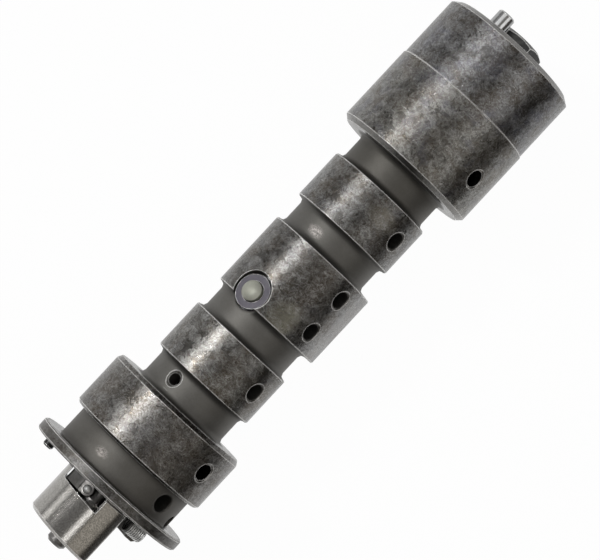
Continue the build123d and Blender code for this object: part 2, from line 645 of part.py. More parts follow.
def tip_tail_hole():
    return tail_hole(spring_ends()[1], tail_tips()[1])


def flyweight_spring():
    """Spring between the hub's flat and the weight's tip, with a tail in each.

    Its wire is six-sided, as wide across the corners as the round wire.
    """
    coil_path = Helix(SPRING_PITCH, SPRING_PITCH * SPRING_TURNS, SPRING_R)
    section = Plane(origin=coil_path @ 0, z_dir=coil_path % 0) * RegularPolygon(SPRING_WIRE_R, 6)
    coil = spring_plane() * sweep(section, path=coil_path, is_frenet=True)
    first, last = spring_ends()
    hub_tip, weight_tip = tail_tips()
    return coil + tail(first, hub_tip) + tail(last, weight_tip)


# ---- pins and plug ----------------------------------------------------------------------------
def chamfered_pin(start, end, radius, y, z):
    pin = axial_cylinder(start, end, radius, y, z)
    return chamfer(pin.edges().filter_by(GeomType.CIRCLE), PIN_CHAMFER)


def flange_pin_place():
    """(y, z) of the flange pin, inside the flange's rim."""
    place = direction(FLANGE_PIN_ANGLE) * (FLANGE_R - FLANGE_PIN_INSET)
    return place.Y, place.Z


def flange_pin():
    return chamfered_pin(
        -FLANGE_PIN_OUT, FLANGE_PIN_SEAT - PRESS_GAP, FLANGE_PIN_R, *flange_pin_place())


def end_dowel():
    return chamfered_pin(
        SHAFT_END - DOWEL_SEAT + PRESS_GAP, SHAFT_END + DOWEL_OUT, DOWEL_R, DOWEL_Y, DOWEL_Z)


def gallery_plug():
    """Hexagon-headed plug in the end of the gallery, with its thread as a plain cylinder."""
    corner_r = PLUG_FLATS / sqrt(3)
    washer_r, washer_height = PLUG_WASHER_FACE
    under_head = PLUG_SEAT_X + washer_height
    top = SHAFT_END + PLUG_HEAD
    bevel = corner_r - PLUG_FLATS / 2
    corner = direction(PLUG_CORNER_ANGLE)
    hexagon = Plane(origin=(under_head, 0, 0), x_dir=corner, z_dir=(1, 0, 0)) * extrude(
        RegularPolygon(corner_r, 6), top - under_head)
    dressed = turned([
        (under_head, 0), (under_head, corner_r), (top - bevel, corner_r),
        (top, corner_r - PLUG_BEVEL_SLOPE * bevel), (top, 0)])
    plug = (hexagon & dressed) + axial_cylinder(PLUG_SEAT_X, under_head, washer_r)
    return plug + axial_cylinder(PLUG_SEAT_X - PLUG_THREAD_LENGTH, PLUG_SEAT_X, PLUG_THREAD_R)


PIECES = {
    "camshaft_body": camshaft_body,
    "decompressor_shaft": decompressor_shaft,
    "drive_pin": drive_pin,
    "retaining_pin": retaining_pin,
    "decompressor_plunger": decompressor_plunger,
    "plunger_guide_bush": plunger_guide_bush,
    "flyweight": flyweight,
    "flyweight_pivot_pin": flyweight_pivot_pin,
    "flyweight_spring": flyweight_spring,
    "flange_pin": flange_pin,
    "end_dowel": end_dowel,
    "gallery_plug": gallery_plug,
}

os.makedirs("parts", exist_ok=True)
for name, make in PIECES.items():
    export_step(make(), f"parts/{name}.step")
print(f"plunger travel {plunger_travel():.3f} mm, nose centre {plunger_nose_centre_r():.3f} mm")
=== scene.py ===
import math

import bpy
import numpy as np
from mathutils import Matrix, Vector


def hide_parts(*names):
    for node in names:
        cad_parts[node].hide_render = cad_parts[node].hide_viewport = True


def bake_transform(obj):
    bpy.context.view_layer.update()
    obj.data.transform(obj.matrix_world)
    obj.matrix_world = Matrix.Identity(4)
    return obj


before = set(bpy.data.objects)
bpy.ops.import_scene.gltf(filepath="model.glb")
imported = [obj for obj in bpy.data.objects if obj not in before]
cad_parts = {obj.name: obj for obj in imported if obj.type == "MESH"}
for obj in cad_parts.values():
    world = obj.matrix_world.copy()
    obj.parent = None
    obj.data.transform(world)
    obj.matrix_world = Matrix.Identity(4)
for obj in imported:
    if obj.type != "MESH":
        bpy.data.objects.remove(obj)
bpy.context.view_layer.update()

print("frame loaded:", len(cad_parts), "nodes")


# small helpers for building node trees

def addNode(tree, kind, inputs=None, **settings):
    node = tree.nodes.new(kind)
    for name, value in settings.items():
        setattr(node, name, value)
    for name, value in (inputs or {}).items():
        if isinstance(value, bpy.types.NodeSocket):
            tree.links.new(value, node.inputs[name])
        else:
            node.inputs[name].default_value = value
    return node


def calc(tree, operation, a, b=0.0, c=0.0, clamp=False):
    return addNode(tree, "ShaderNodeMath", {0: a, 1: b, 2: c}, operation=operation, use_clamp=clamp).outputs[0]


def remap(tree, value, low, high, toLow=0.0, toHigh=1.0, smooth=True):
    kind = "SMOOTHSTEP" if smooth else "LINEAR"
    return addNode(tree, "ShaderNodeMapRange", {0: value, 1: low, 2: high, 3: toLow, 4: toHigh},
                   interpolation_type=kind, clamp=True).outputs[0]


def mixColor(tree, factor, a, b, mode="MIX"):
    return addNode(tree, "ShaderNodeMix", {0: factor, 6: a, 7: b}, data_type="RGBA", blend_type=mode).outputs[2]


def rgb(r, g, b):
    return (r, g, b, 1.0)


def startGroup(name, inputs, outputs):
    group = bpy.data.node_groups.new(name, "ShaderNodeTree")
    for label, kind, value in inputs:
        socket = group.interface.new_socket(name=label, in_out="INPUT", socket_type="NodeSocket" + kind)
        if value is not None:
            socket.default_value = value
    for label, kind in outputs:
        group.interface.new_socket(name=label, in_out="OUTPUT", socket_type="NodeSocket" + kind)
    return group, group.nodes.new("NodeGroupInput"), group.nodes.new("NodeGroupOutput")


def useGroup(tree, group, **inputs):
    node = tree.nodes.new("ShaderNodeGroup")
    node.node_tree = group
    for name, value in inputs.items():
        label = name[0].upper() + name[1:]
        if isinstance(value, bpy.types.NodeSocket):
            tree.links.new(value, node.inputs[label])
        else:
            node.inputs[label].default_value = value
    return node


# effects that several finishes share

def makeEdgeWearAndHighlight():
    # outward edges only: where the rounded normal leaves the true one, but not in an inner corner; used for rubbed
    # edges that are partly real wear and partly a painted highlight
    group, start, end = startGroup("edge wear",
        [("Width", "Float", 0.0003), ("Breakup", "Float", 0.4), ("Scale", "Float", 900.0)], [("Mask", "Float")])
    bevel = addNode(group, "ShaderNodeBevel", {"Radius": start.outputs["Width"]}, samples=6)
    flat = addNode(group, "ShaderNodeNewGeometry")
    dot = addNode(group, "ShaderNodeVectorMath", {0: bevel.outputs[0], 1: flat.outputs["Normal"]},
                  operation="DOT_PRODUCT").outputs["Value"]
    edge = remap(group, dot, 0.9985, 0.972)
    openness = addNode(group, "ShaderNodeAmbientOcclusion", {"Distance": 0.0012}, samples=6, only_local=True)
    outward = remap(group, openness.outputs["AO"], 0.50, 0.72)
    place = addNode(group, "ShaderNodeTexCoord").outputs["Object"]
    noise = addNode(group, "ShaderNodeTexNoise", {"Vector": place, "Scale": start.outputs["Scale"], "Detail": 3.0})
    broken = remap(group, noise.outputs[0], 0.35, 0.62)
    keep = calc(group, "MULTIPLY_ADD", broken, start.outputs["Breakup"],
                calc(group, "SUBTRACT", 1.0, start.outputs["Breakup"]))
    mask = calc(group, "MULTIPLY", calc(group, "MULTIPLY", edge, outward), keep, clamp=True)
    group.links.new(mask, end.inputs["Mask"])
    return group


def makeBand():
    # 1 between From and To along the shaft, with soft ends, all in millimetres
    group, start, end = startGroup("band along shaft",
        [("X", "Float", 0.0), ("From", "Float", 0.0), ("To", "Float", 1.0), ("Soft", "Float", 0.3)],
        [("Mask", "Float")])
    soft = start.outputs["Soft"]
    rise = remap(group, start.outputs["X"], calc(group, "SUBTRACT", start.outputs["From"], soft),
                 calc(group, "ADD", start.outputs["From"], soft))
    fall = remap(group, start.outputs["X"], calc(group, "SUBTRACT", start.outputs["To"], soft),
                 calc(group, "ADD", start.outputs["To"], soft))
    mask = calc(group, "MULTIPLY", rise, calc(group, "SUBTRACT", 1.0, fall))
    group.links.new(mask, end.inputs["Mask"])
    return group


def makeMottle():
    # small marks on a larger cloud: two bent noises, each spread to run from 0 to 1;
    # the curls are thin lines where a third noise crosses its middle value
    group, start, end = startGroup("mottle",
        [("Scale", "Float", 1500.0), ("Curl", "Float", 1.5), ("Cloud", "Float", 420.0), ("Seed", "Float", 0.0)],
        [("Fine", "Float"), ("Cloud", "Float"), ("Curls", "Float")])
    place = addNode(group, "ShaderNodeTexCoord").outputs["Object"]
    otherSeed = calc(group, "ADD", start.outputs["Seed"], 20.0)
    coarser = calc(group, "MULTIPLY", start.outputs["Scale"], 0.34)
    winding = addNode(group, "ShaderNodeTexNoise", {"Vector": place, "W": otherSeed, "Scale": coarser, "Detail": 3.0,
                                                    "Roughness": 0.62, "Distortion": 1.6},
                      noise_dimensions="4D").outputs[0]
    level = calc(group, "ABSOLUTE", calc(group, "SUBTRACT", winding, 0.5))
    group.links.new(remap(group, level, 0.042, 0.010), end.inputs["Curls"])
    for label, scale, bend, low, high in (("Fine", "Scale", start.outputs["Curl"], 0.43, 0.57),
                                          ("Cloud", "Cloud", 0.8, 0.40, 0.60)):
        noise = addNode(group, "ShaderNodeTexNoise", {"Vector": place, "W": start.outputs["Seed"],
                                                      "Scale": start.outputs[scale], "Detail": 3.0,
                                                      "Roughness": 0.62, "Distortion": bend},
                        noise_dimensions="4D")
        group.links.new(remap(group, noise.outputs[0], low, high, smooth=False), end.inputs[label])
    return group


def makeScuffLines():
    # short fine scratches in three slanting directions: noise drawn out along the way they run
    group, start, end = startGroup("short scratches", [("Scale", "Float", 1.0), ("Cover", "Float", 0.5)],
                                   [("Mask", "Float")])
    place = addNode(group, "ShaderNodeTexCoord").outputs["Object"]
    total = 0.0
    for turn, across, along, seed in ((0.35, 3800.0, 420.0, 2.0), (-0.9, 3400.0, 380.0, 7.0),
                                      (1.5, 3000.0, 260.0, 11.0)):
        turned = addNode(group, "ShaderNodeMapping", {"Vector": place, "Rotation": (0.4, 0.3, turn),
                                                      "Scale": (across, along, along)})
        sized = addNode(group, "ShaderNodeVectorMath", {0: turned.outputs[0], "Scale": start.outputs["Scale"]},
                        operation="SCALE").outputs[0]
        noise = addNode(group, "ShaderNodeTexNoise", {"Vector": sized, "W": seed, "Scale": 1.0, "Detail": 1.0},
                        noise_dimensions="4D")
        limit = calc(group, "SUBTRACT", 0.80, calc(group, "MULTIPLY", start.outputs["Cover"], 0.2))
        line = remap(group, noise.outputs[0], limit, calc(group, "ADD", limit, 0.08))
        total = calc(group, "MAXIMUM", total, line)
    group.links.new(total, end.inputs["Mask"])
    return group


def makeGrindLines():
    # fine rings round the shaft: noise squeezed along X and drawn out across it
    group, start, end = startGroup("turning lines", [("Pitch", "Float", 0.0003), ("Streak", "Float", 0.04)],
                                   [("Height", "Float")])
    place = addNode(group, "ShaderNodeTexCoord").outputs["Object"]
    parts = addNode(group, "ShaderNodeSeparateXYZ", {0: place})
    along = calc(group, "DIVIDE", parts.outputs[0], start.outputs["Pitch"])
    side = calc(group, "DIVIDE", start.outputs["Streak"], start.outputs["Pitch"])
    squeezed = addNode(group, "ShaderNodeCombineXYZ", {0: along, 1: calc(group, "MULTIPLY", parts.outputs[1], side),
                                                       2: calc(group, "MULTIPLY", parts.outputs[2], side)})
    noise = addNode(group, "ShaderNodeTexNoise", {"Vector": squeezed.outputs[0], "Scale": 1.0, "Detail": 3.0})
    group.links.new(noise.outputs[0], end.inputs["Height"])
    return group


def makeStain():
    # broad uneven tint, from clear to full between Low and High
    group, start, end = startGroup("stain",
        [("Scale", "Float", 90.0), ("Low", "Float", 0.4), ("High", "Float", 0.65), ("Seed", "Float", 0.0)],
        [("Mask", "Float")])
    place = addNode(group, "ShaderNodeTexCoord").outputs["Object"]
    noise = addNode(group, "ShaderNodeTexNoise", {"Vector": place, "W": start.outputs["Seed"],
                                                  "Scale": start.outputs["Scale"], "Detail": 5.0, "Roughness": 0.62,
                                                  "Distortion": 0.6}, noise_dimensions="4D")
    group.links.new(remap(group, noise.outputs[0], start.outputs["Low"], start.outputs["High"]), end.inputs["Mask"])
    return group


def makeSpeckle():
    # small separate grains
    group, start, end = startGroup("speckle", [("Scale", "Float", 2200.0), ("Size", "Float", 0.28)],
                                   [("Mask", "Float")])
    place = addNode(group, "ShaderNodeTexCoord").outputs["Object"]
    cells = addNode(group, "ShaderNodeTexVoronoi", {"Vector": place, "Scale": start.outputs["Scale"]})
    group.links.new(remap(group, cells.outputs["Distance"], start.outputs["Size"], 0.0), end.inputs["Mask"])
    return group


edgeWearAndHighlight, band, mottle, scuffLines = makeEdgeWearAndHighlight(), makeBand(), makeMottle(), makeScuffLines()
grindLines, stain, speckle = makeGrindLines(), makeStain(), makeSpeckle()
print("effects made")


# finishes

def startMaterial(name):
    material = bpy.data.materials.new(name)
    material.use_nodes = True
    tree = material.node_tree
    return material, tree, tree.nodes["Principled BSDF"]


bodyLook = {
    # ground surfaces with their patina
    "skin": rgb(0.058, 0.055, 0.050), "skinPale": rgb(0.270, 0.267, 0.262), "skinBrown": rgb(0.098, 0.080, 0.060),
    "skinBlue": rgb(0.120, 0.120, 0.140), "scratch": rgb(0.46, 0.46, 0.45), "shade": rgb(0.62, 0.60, 0.57),
    # necks with painted shade in their corners, end faces, hub, rubbed edges partly worn and partly a painted
    # highlight, holes and the flange's rim
    "neck": rgb(0.150, 0.145, 0.134), "neckPale": rgb(0.215, 0.210, 0.200), "corner": rgb(0.050, 0.047, 0.043),
    "face": rgb(0.15, 0.146, 0.138), "hub": rgb(0.245, 0.236, 0.220), "hubPale": rgb(0.39, 0.378, 0.358),
    "edge": rgb(0.92, 0.91, 0.89), "bore": rgb(0.130, 0.112, 0.104), "pit": rgb(0.035, 0.032, 0.030),
    # tints of a length of the shaft: from and to in millimetres, colour to multiply by
    "lengths": ((3.25, 12.0, rgb(0.84, 0.83, 0.82)), (12.0, 28.5, rgb(0.82, 0.81, 0.80)),
                (37.1, 51.9, rgb(0.95, 0.95, 0.94)), (60.05, 82.15, rgb(0.83, 0.83, 0.83)),
                (90.1, 104.75, rgb(0.88, 0.885, 0.89)), (104.75, 112.85, rgb(0.80, 0.79, 0.77)),
                (112.85, 136.2, rgb(1.00, 1.00, 0.98)), (136.2, 155.3, rgb(0.90, 0.91, 0.94))),
    # glints on two necks: centre and half size in millimetres
    "glints": (((7.3, 6.9, 16.8), (1.5, 2.2, 4.0)), ((85.5, 5.4, 12.4), (1.8, 2.8, 4.0))),
    "glint": rgb(0.48, 0.45, 0.43),
    # mouth of the cross hole in the second neck: centre and reach in millimetres
    "pinSeat": (32.8, 6.2, 11.9), "pinSeatReach": 3.2,
    # patches: centre and half size in millimetres, colour, strength
    "patches": (((63.7, -3.6, 14.9), (4.6, 4.2, 4.0), rgb(0.215, 0.206, 0.163), 0.92),
                ((75.1, -4.2, 14.7), (6.8, 3.4, 4.0), rgb(0.058, 0.048, 0.040), 0.80),
                ((99.4, -5.1, 14.4), (2.6, 5.0, 4.0), rgb(0.175, 0.160, 0.132), 0.85),
                ((19.5, -5.0, 20.4), (8.0, 6.0, 4.0), rgb(0.075, 0.066, 0.056), 0.45),
                ((44.0, -4.0, 14.8), (5.5, 3.6, 4.0), rgb(0.085, 0.074, 0.062), 0.45)),
    # plain necks: from, to, and how far each end is eased and darkened by painted corner shade, in millimetres
    "necks": ((3.25, 12.0, 2.8, 2.4), (28.5, 37.1, 1.2, 2.4), (51.9, 60.05, 2.8, 2.6), (82.15, 90.1, 2.8, 2.8),
              (104.75, 112.85, 1.8, 3.4)),
    # uneven tints, patina marks, the hub's grain, scratches, turning lines, pits and edges: their effects' settings
    "brown": {"scale": 150.0, "low": 0.44, "high": 0.62, "seed": 1.0},
    "blue": {"scale": 130.0, "low": 0.48, "high": 0.64, "seed": 5.0},
    "dust": {"scale": 90.0, "low": 0.42, "high": 0.66, "seed": 8.0},
    "marks": {"scale": 1650.0, "curl": 1.6, "cloud": 330.0},
    "darkMarks": {"scale": 1700.0, "curl": 1.6, "cloud": 260.0, "seed": 12.0},
    "grain": {"scale": 3200.0, "curl": 0.3, "cloud": 900.0, "seed": 3.0},
    "scuffs": {"scale": 1.0, "cover": 0.62}, "lines": {"pitch": 0.00028, "streak": 0.03},
    "pits": {"scale": 900.0, "size": 0.34}, "edges": {"width": 0.00034, "breakup": 0.30},
    # shares of each effect in the colour
    "wornFine": 0.56, "wornCloud": 0.40, "wornLess": -0.06, "dustShare": 0.75, "scuffShare": 0.5,
    "darkShare": 0.50, "curlShare": (0.44, 0.12), "blueShare": (0.35, 0.25), "brownShare": (-0.35, 0.60),
    "neckFine": 0.16, "neckDust": 0.24, "cornerShadeShare": 0.35, "faceShare": 0.8, "rimShare": 0.40,
    # shares of each effect in the height, as a multiple of the fine marks
    "cloudHeight": 0.4, "lineHeight": (-0.1, 0.25), "grainHeight": 0.30, "pitHeight": -2.0,
    # where hub, flange, necks and far journal lie: from and to along the shaft, in millimetres
    "hubSpan": (-20, -0.1), "rimSpan": (-0.1, 3.35), "grooveSpan": (3.2, 12.0), "neckSpan": (28.45, 112.9),
    "farSpan": (112.6, 156),
    # radii at which the flange's rim begins, and below which the groove and the other necks lie
    "rimRadius": (22.6, 23.0), "grooveRadius": (18.5, 18.8), "neckRadius": (15.05, 15.2),
    "lean": 0.18, "hubLean": -0.09, "bump": 0.000013,
    "rough": 0.25, "cloudRough": 0.10, "neckRough": 0.58, "hubRough": 0.20, "rimRough": 0.34,
}


def makeBodySteel():
    look = bodyLook
    material, tree, shader = startMaterial("ground steel")
    place = addNode(tree, "ShaderNodeTexCoord").outputs["Object"]
    parts = addNode(tree, "ShaderNodeSeparateXYZ", {0: place})
    x = calc(tree, "MULTIPLY", parts.outputs[0], 1000.0)
    radius = calc(tree, "SQRT", calc(tree, "ADD", calc(tree, "POWER", parts.outputs[1], 2.0),
                                     calc(tree, "POWER", parts.outputs[2], 2.0)))
    radius = calc(tree, "MULTIPLY", radius, 1000.0)
    flatNormal = addNode(tree, "ShaderNodeNewGeometry").outputs["Normal"]
    faceOn = remap(tree, calc(tree, "ABSOLUTE", addNode(tree, "ShaderNodeSeparateXYZ", {0: flatNormal}).outputs[0]),
                   0.55, 0.8)

    def between(start, end, soft=0.15):
        return useGroup(tree, band, x=x, **{"from": start, "to": end, "soft": soft}).outputs[0]

    def distanceFrom(center, size):
        # 1 on the surface of an ellipsoid with this centre and these half sizes
        spot = addNode(tree, "ShaderNodeMapping", {"Vector": place, "Location": [v / 1000 for v in center],
                                                   "Scale": [v / 1000 for v in size]}, vector_type="TEXTURE")
        return addNode(tree, "ShaderNodeVectorMath", {0: spot.outputs[0]}, operation="LENGTH").outputs["Value"]

    hub = between(*look["hubSpan"])
    rim = calc(tree, "MULTIPLY", between(*look["rimSpan"]), remap(tree, radius, *look["rimRadius"]))
    farEnd = between(*look["farSpan"])
    below = calc(tree, "SUBTRACT", 1.0, remap(tree, radius, *look["neckRadius"]))
    neck = calc(tree, "MULTIPLY", below, between(*look["neckSpan"]))
    below = calc(tree, "SUBTRACT", 1.0, remap(tree, radius, *look["grooveRadius"]))
    neck = calc(tree, "MAXIMUM", neck, calc(tree, "MULTIPLY", between(*look["grooveSpan"]), below))

    # the ends of each neck turn up towards its neighbours, and the hub's normal leans away from the key lamp; the
    # same neck ends carry the painted shade in the corners
    lean, ends = 0.0, 0.0
    for start, end, first, last in look["necks"]:
        inside = between(start - 0.05, end + 0.05, 0.05)
        rise = calc(tree, "MULTIPLY", remap(tree, x, start, start + first, 1.0, 0.0), inside)
        fall = calc(tree, "MULTIPLY", remap(tree, x, end - last, end, 0.0, 1.0), inside)
        lean = calc(tree, "ADD", lean, calc(tree, "SUBTRACT", rise, fall))
        ends = calc(tree, "ADD", ends, calc(tree, "ADD", rise, fall))
    lean = calc(tree, "MULTIPLY", calc(tree, "MULTIPLY", lean, neck), look["lean"])
    lean = calc(tree, "MULTIPLY_ADD", hub, look["hubLean"], lean)
    roundSize = calc(tree, "MULTIPLY_ADD", neck, 0.0008, 0.00022)
    rounded = addNode(tree, "ShaderNodeBevel", {"Radius": roundSize}, samples=6).outputs[0]
    tilted = addNode(tree, "ShaderNodeVectorMath",
                     {0: rounded, 1: addNode(tree, "ShaderNodeCombineXYZ", {0: lean}).outputs[0]}, operation="ADD")
    baseNormal = addNode(tree, "ShaderNodeVectorMath", {0: tilted.outputs[0]}, operation="NORMALIZE").outputs[0]

    onNeck = calc(tree, "SUBTRACT", 1.0, neck)
    onSkin = calc(tree, "MULTIPLY", onNeck, calc(tree, "SUBTRACT", 1.0, hub))
    brown = useGroup(tree, stain, **look["brown"]).outputs[0]
    blue = useGroup(tree, stain, **look["blue"]).outputs[0]
    dust = useGroup(tree, stain, **look["dust"]).outputs[0]
    marks = useGroup(tree, mottle, **look["marks"])
    fine, cloud, curls = (marks.outputs[name] for name in ("Fine", "Cloud", "Curls"))
    grain = useGroup(tree, mottle, **look["grain"]).outputs["Fine"]
    scuffs = useGroup(tree, scuffLines, **look["scuffs"]).outputs[0]
    lines = useGroup(tree, grindLines, **look["lines"]).outputs[0]
    pits = calc(tree, "MULTIPLY", useGroup(tree, speckle, **look["pits"]).outputs[0], rim)
    edges = useGroup(tree, edgeWearAndHighlight, **look["edges"]).outputs[0]
    seat = remap(tree, distanceFrom(look["pinSeat"], [look["pinSeatReach"]] * 3), 1.0, 0.9)
    # the painted edge highlight stays off the necks' inner corners, except round the cross hole's mouth
    edges = calc(tree, "MULTIPLY", edges, calc(tree, "MAXIMUM", onNeck, seat))
    openness = addNode(tree, "ShaderNodeAmbientOcclusion", {"Distance": 0.004}, samples=8).outputs["AO"]
    bore = remap(tree, openness, 0.16, 0.03)

    worn = calc(tree, "MULTIPLY_ADD", cloud, look["wornCloud"], look["wornLess"])
    worn = calc(tree, "MULTIPLY_ADD", fine, look["wornFine"], worn, clamp=True)
    skin = mixColor(tree, worn, look["skin"], look["skinPale"])
    skin = mixColor(tree, calc(tree, "MULTIPLY", dust, look["dustShare"]), skin, look["shade"], "MULTIPLY")
    skin = mixColor(tree, calc(tree, "MULTIPLY", blue, calc(tree, "MULTIPLY_ADD", farEnd, *look["blueShare"])), skin,
                    look["skinBlue"])
    skin = mixColor(tree, calc(tree, "MULTIPLY", brown, calc(tree, "MULTIPLY_ADD", fine, *look["brownShare"])), skin,
                    look["skinBrown"])
    for center, size, tint, strength in look["patches"]:
        away = distanceFrom(center, size)
        away = calc(tree, "MULTIPLY_ADD", calc(tree, "SUBTRACT", brown, fine), 0.25, away)
        mask = calc(tree, "MULTIPLY", remap(tree, away, 1.15, 0.75), strength)
        skin = mixColor(tree, calc(tree, "MULTIPLY", mask, calc(tree, "MULTIPLY_ADD", fine, -0.5, 1.0)), skin, tint)
    curlShare = calc(tree, "MULTIPLY_ADD", cloud, *look["curlShare"])
    skin = mixColor(tree, calc(tree, "MULTIPLY", curls, curlShare), skin, look["scratch"])
    dark = useGroup(tree, mottle, **look["darkMarks"])
    darkShare = calc(tree, "MULTIPLY", dark.outputs["Cloud"], look["darkShare"])
    skin = mixColor(tree, calc(tree, "MULTIPLY", dark.outputs["Curls"], darkShare), skin, look["skinBrown"])
    skin = mixColor(tree, calc(tree, "MULTIPLY", scuffs, look["scuffShare"]), skin, look["scratch"])
    neckWorn = calc(tree, "MULTIPLY_ADD", fine, look["neckFine"], calc(tree, "MULTIPLY", dust, look["neckDust"]))
    neckTone = mixColor(tree, neckWorn, look["neck"], look["neckPale"])
    for center, size in look["glints"]:
        glint = calc(tree, "MULTIPLY", remap(tree, distanceFrom(center, size), 1.1, 0.3),
                     calc(tree, "MAXIMUM", curls, calc(tree, "MULTIPLY", fine, 0.5)))
        neckTone = mixColor(tree, glint, neckTone, look["glint"])
    # painted shade darkening each neck towards the corners at its ends
    neckTone = mixColor(tree, calc(tree, "MULTIPLY", ends, look["cornerShadeShare"]), neckTone, look["corner"])
    color = mixColor(tree, neck, skin, neckTone)
    for start, end, tint in look["lengths"]:
        color = mixColor(tree, between(start, end, 0.05), color, tint, "MULTIPLY")
    color = mixColor(tree, calc(tree, "MULTIPLY", faceOn, look["faceShare"]), color, look["face"])
    color = mixColor(tree, hub, color, mixColor(tree, grain, look["hub"], look["hubPale"]))
    color = mixColor(tree, calc(tree, "MULTIPLY", rim, look["rimShare"]), color, look["pit"])
    color = mixColor(tree, pits, color, look["pit"])
    # rubbed edges: partly real wear, partly a painted highlight in near-white
    color = mixColor(tree, edges, color, look["edge"])
    color = mixColor(tree, bore, color, look["bore"])

    rough = calc(tree, "MULTIPLY_ADD", neck, look["neckRough"] - look["rough"], look["rough"])
    rough = calc(tree, "MULTIPLY_ADD", hub, look["hubRough"] - look["rough"], rough)
    rough = calc(tree, "MULTIPLY_ADD", rim, look["rimRough"] - look["rough"], rough)
    rough = calc(tree, "MULTIPLY_ADD", calc(tree, "MULTIPLY", cloud, onSkin), look["cloudRough"], rough)
    rough = calc(tree, "MULTIPLY_ADD", bore, 0.3, rough)
    height = calc(tree, "MULTIPLY", calc(tree, "MULTIPLY_ADD", cloud, look["cloudHeight"], fine), onSkin)
    height = calc(tree, "MULTIPLY_ADD", lines, calc(tree, "MULTIPLY_ADD", hub, *look["lineHeight"]), height)
    height = calc(tree, "MULTIPLY_ADD", calc(tree, "MULTIPLY", grain, hub), look["grainHeight"], height)
    height = calc(tree, "MULTIPLY_ADD", pits, look["pitHeight"], height)
    bump = addNode(tree, "ShaderNodeBump", {"Height": height, "Strength": 1.0, "Distance": look["bump"],
                                            "Normal": baseNormal})
    metal = calc(tree, "MULTIPLY_ADD", bore, -0.7, 1.0)
    # the rubbed edges with their painted highlight are made mostly unmetallic
    metal = calc(tree, "MULTIPLY_ADD", edges, -0.85, metal, clamp=True)
    tree.links.new(color, shader.inputs["Base Color"])
    tree.links.new(rough, shader.inputs["Roughness"])
    tree.links.new(bump.outputs[0], shader.inputs["Normal"])
    tree.links.new(metal, shader.inputs["Metallic"])
    return material


def makeSteel(name, base, pale, roughness, wearAndHighlight, grain=0.3, pitch=0.0002, metallic=1.0):
    material, tree, shader = startMaterial(name)
    cloud = useGroup(tree, stain, scale=500.0, low=0.40, high=0.68, seed=roughness * 40).outputs[0]
    lines = useGroup(tree, grindLines, pitch=pitch, streak=0.05).outputs[0]
    color = mixColor(tree, calc(tree, "MULTIPLY", cloud, 0.6), base, pale)
    if wearAndHighlight > 0:
        edges = useGroup(tree, edgeWearAndHighlight, width=wearAndHighlight, breakup=0.4).outputs[0]
        # rubbed edges: partly real wear, partly a painted highlight
        color = mixColor(tree, edges, color, bodyLook["edge"])
    tree.links.new(color, shader.inputs["Base Color"])
    tree.links.new(remap(tree, cloud, 0.0, 1.0, roughness, roughness * 0.75, smooth=False),
                   shader.inputs["Roughness"])
    bump = addNode(tree, "ShaderNodeBump", {"Height": lines, "Strength": grain, "Distance": 0.00005})
    tree.links.new(bump.outputs[0], shader.inputs["Normal"])
    shader.inputs["Metallic"].default_value = metallic
    return material


springLook = {
    # the first turn's centre, the turns' mean radius, the wire's radius and the pitch, in millimetres
    "start": (-2.65, -10.2016, 0.4), "dip": math.radians(25), "radius": 2.1, "wire": 0.27, "pitch": 0.62, "turns": 9,
    # the tails' ends: y in the hub; y from the last turn, and z, in the weight
    "hubTipY": -7.8, "weightTip": (0.6, -6.012), "hubTailRings": 6, "weightTailRings": 8,
    "steps": 24, "sides": 12,
    "paintedGapShade": rgb(0.006, 0.006, 0.006), "bright": rgb(0.95, 0.95, 0.94), "metallic": 0.35, "rough": 0.35,
    # in the weight's shadow down to these two places along Y, in metres
    "shade": rgb(0.10, 0.10, 0.098), "shadeEnds": (-0.0112, -0.0122),
}


def makeSpringWire():
    # bright round wire, with painted shade between the turns and a painted shadow of the weight on its turns nearest
    # the hub
    look = springLook
    material, tree, shader = startMaterial("spring wire")
    openness = addNode(tree, "ShaderNodeAmbientOcclusion", {"Distance": 0.0004}, samples=8, only_local=True)
    out = remap(tree, openness.outputs["AO"], 0.42, 0.80)
    place = addNode(tree, "ShaderNodeTexCoord").outputs["Object"]
    across = addNode(tree, "ShaderNodeSeparateXYZ", {0: place}).outputs[1]
    # painted shadow: the shade colour on the turns nearest the hub, bright beyond
    bright = mixColor(tree, remap(tree, across, *look["shadeEnds"]), look["shade"], look["bright"])
    # painted shade between the turns, where the occlusion is high
    tree.links.new(mixColor(tree, out, look["paintedGapShade"], bright), shader.inputs["Base Color"])
    shader.inputs["Metallic"].default_value = look["metallic"]
    shader.inputs["Roughness"].default_value = look["rough"]
    return material


